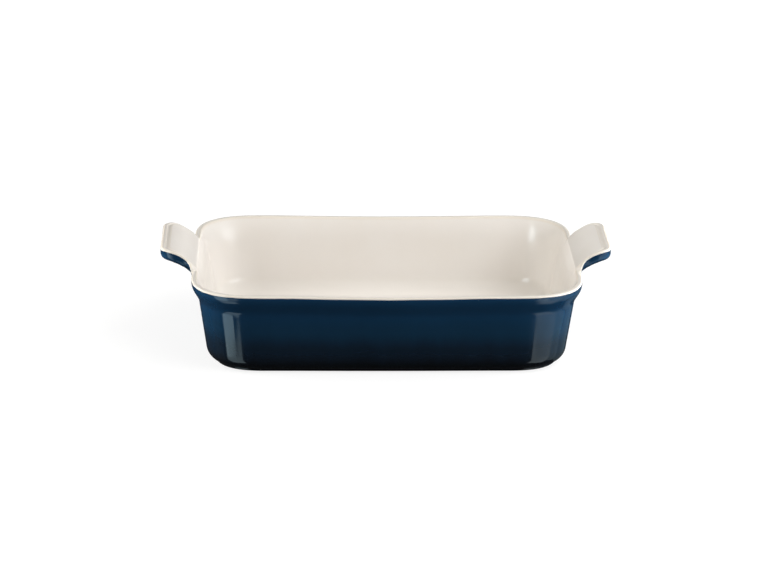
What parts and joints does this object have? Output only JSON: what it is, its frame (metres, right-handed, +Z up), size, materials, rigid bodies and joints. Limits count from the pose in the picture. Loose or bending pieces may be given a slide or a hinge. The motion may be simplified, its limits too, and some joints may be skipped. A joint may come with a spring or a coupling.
{
  "type": "rectangular baking dish",
  "caption": "Deep rectangular stoneware baking dish with rounded corners, a flared rim and upswept tab handles at its ends, cream glaze inside and dark blue glaze outside.",
  "frame": {"origin": "middle of the footprint, on the plane that the foot ring stands on", "axes": "+X along the dish from one handle to the other, +Y across its width, +Z up out of the open top"},
  "size_m": [0.42, 0.254, 0.098],
  "materials": {
    "stoneware": "fired bare stoneware, pale tan, matt and slightly gritty",
    "cream_glaze": "glossy warm cream glaze",
    "blue_glaze": "glossy dark blue glaze that deepens to blue-black at the foot",
    "base_glaze": "satin blue-black glaze"
  },
  "bodies": {
    "root": {"stoneware_body": "stoneware", "interior_glaze": "cream_glaze", "exterior_glaze": "blue_glaze", "base_glaze": "base_glaze"}
  },
  "joints": []
}
